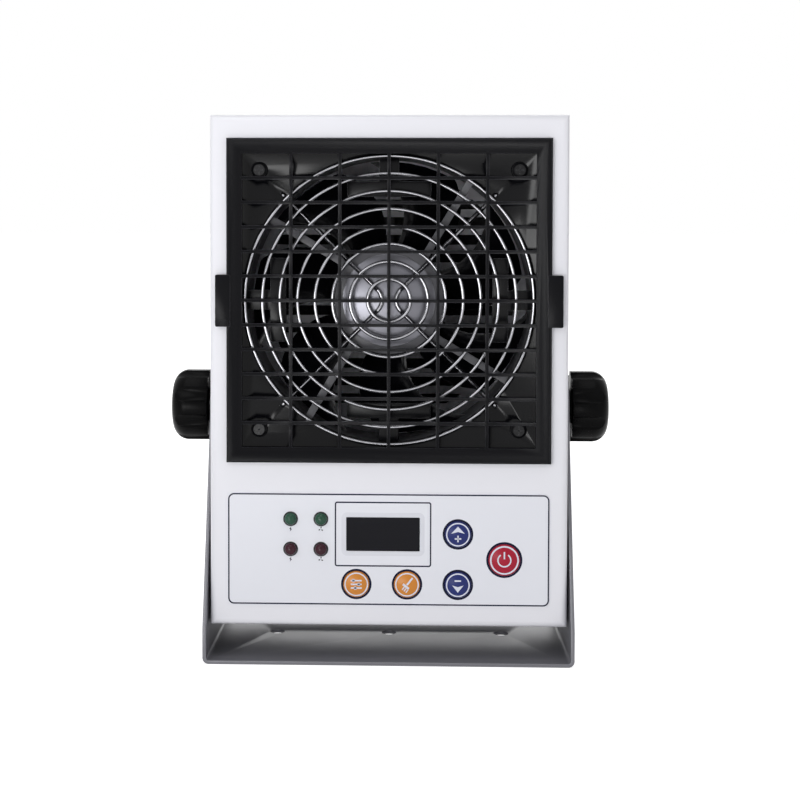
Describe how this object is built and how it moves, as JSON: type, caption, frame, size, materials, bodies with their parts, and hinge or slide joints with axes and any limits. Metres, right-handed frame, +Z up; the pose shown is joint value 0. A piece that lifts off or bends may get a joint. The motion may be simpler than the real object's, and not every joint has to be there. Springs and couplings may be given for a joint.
{
  "type": "ionizing blower",
  "caption": "Desktop ionizing air blower: white sheet-steel case on a U bracket with tilt knobs, black pull-off grille, wire guard, axial fan and keypad.",
  "frame": {"origin": "underside of the bracket base, in the plane of the tilt axis, at the middle bench hole", "axes": "+X to the viewer's right along the tilt axis, +Y to the rear, +Z up; air leaves towards -Y"},
  "size_m": [0.1844, 0.095, 0.2205],
  "materials": {
    "bracket_paint": "satin grey paint",
    "case_paint": "smooth white powder coat",
    "steel": "zinc-plated",
    "black_steel": "black oxide",
    "rubber_grey": "matt",
    "black_gloss": "glossy black",
    "black_matte": "fine moulded texture",
    "fan_black": "satin black",
    "chrome_wire": "bright plated",
    "copper_core": "varnished winding",
    "brushed_cap": "brushed",
    "potting": "potted block",
    "board_green": "solder mask",
    "window": "dark lens",
    "film": "white film",
    "lamp_green": "green lens",
    "lamp_red": "dark red lens",
    "key_orange": "orange",
    "key_blue": "blue",
    "key_red": "red",
    "foam": "open-cell foam",
    "brass": "plated"
  },
  "bodies": {
    "bracket": {"bracket": "bracket_paint"},
    "case": {"housing_shell": "case_paint", "rear_cover": "case_paint", "cover_screws": "steel", "tilt_washer_left": "rubber_grey", "tilt_washer_right": "rubber_grey", "tilt_nut_left": "steel", "tilt_nut_right": "steel", "fan_tray": "black_gloss", "wire_guard": "chrome_wire", "fan_frame": "fan_black", "fan_stator": "copper_core", "motor_cap": "brushed_cap", "fan_screws": "black_steel", "fan_nuts": "steel", "emitter_top": "black_matte", "emitter_right": "black_matte", "emitter_bottom": "black_matte", "emitter_left": "black_matte", "emitter_needles": "steel", "high_voltage_module": "potting", "module_screws": "steel", "control_board": "board_green", "board_posts": "steel", "key_switches": "fan_black", "display_module": "fan_black", "display_window": "window", "keypad_film": "film", "lamps_green": "lamp_green", "lamps_red": "lamp_red", "filter_base": "black_matte", "filter_screws": "steel", "mains_inlet": "black_matte", "inlet_pins": "brass", "inlet_screws": "steel", "earth_terminal": "brass"},
    "left_knob": {"knob_left": "black_gloss", "stud_left": "steel"},
    "right_knob": {"knob_right": "black_gloss", "stud_right": "steel"},
    "rotor": {"fan_rotor": "fan_black"},
    "grille": {"front_grille": "black_matte"},
    "filter": {"filter_cover": "black_matte", "filter_foam": "foam"},
    "mode_key": {"key_mode": "key_orange"},
    "clean_key": {"key_clean": "key_orange"},
    "up_key": {"key_up": "key_blue"},
    "down_key": {"key_down": "key_blue"},
    "power_key": {"key_power": "key_red"}
  },
  "joints": [
    {"name": "case_tilt", "type": "hinge", "parent": "bracket", "child": "case", "pos_m": [0, 0, 0.0995], "axis": [1, 0, 0], "range_deg": [-90, 90]},
    {"name": "left_knob_turn", "type": "hinge", "parent": "case", "child": "left_knob", "pos_m": [-0.083, 0, 0.0995], "axis": [1, 0, 0], "continuous": true},
    {"name": "right_knob_turn", "type": "hinge", "parent": "case", "child": "right_knob", "pos_m": [0.083, 0, 0.0995], "axis": [1, 0, 0], "continuous": true},
    {"name": "rotor_spin", "type": "hinge", "parent": "case", "child": "rotor", "pos_m": [0, -0.02, 0.146], "axis": [0, 1, 0], "continuous": true},
    {"name": "grille_pull", "type": "slide", "parent": "case", "child": "grille", "axis": [0, -1, 0], "range_m": [0, 0.03]},
    {"name": "filter_pull", "type": "slide", "parent": "case", "child": "filter", "axis": [0, 1, 0], "range_m": [0, 0.03]},
    {"name": "mode_press", "type": "slide", "parent": "case", "child": "mode_key", "axis": [0, 1, 0], "range_m": [0, 0.0005], "stiffness_N_per_m": 900, "springref_m": -0.0006},
    {"name": "clean_press", "type": "slide", "parent": "case", "child": "clean_key", "axis": [0, 1, 0], "range_m": [0, 0.0005], "stiffness_N_per_m": 900, "springref_m": -0.0006},
    {"name": "up_press", "type": "slide", "parent": "case", "child": "up_key", "axis": [0, 1, 0], "range_m": [0, 0.0005], "stiffness_N_per_m": 900, "springref_m": -0.0006},
    {"name": "down_press", "type": "slide", "parent": "case", "child": "down_key", "axis": [0, 1, 0], "range_m": [0, 0.0005], "stiffness_N_per_m": 900, "springref_m": -0.0006},
    {"name": "power_press", "type": "slide", "parent": "case", "child": "power_key", "axis": [0, 1, 0], "range_m": [0, 0.0005], "stiffness_N_per_m": 900, "springref_m": -0.0006}
  ]
}
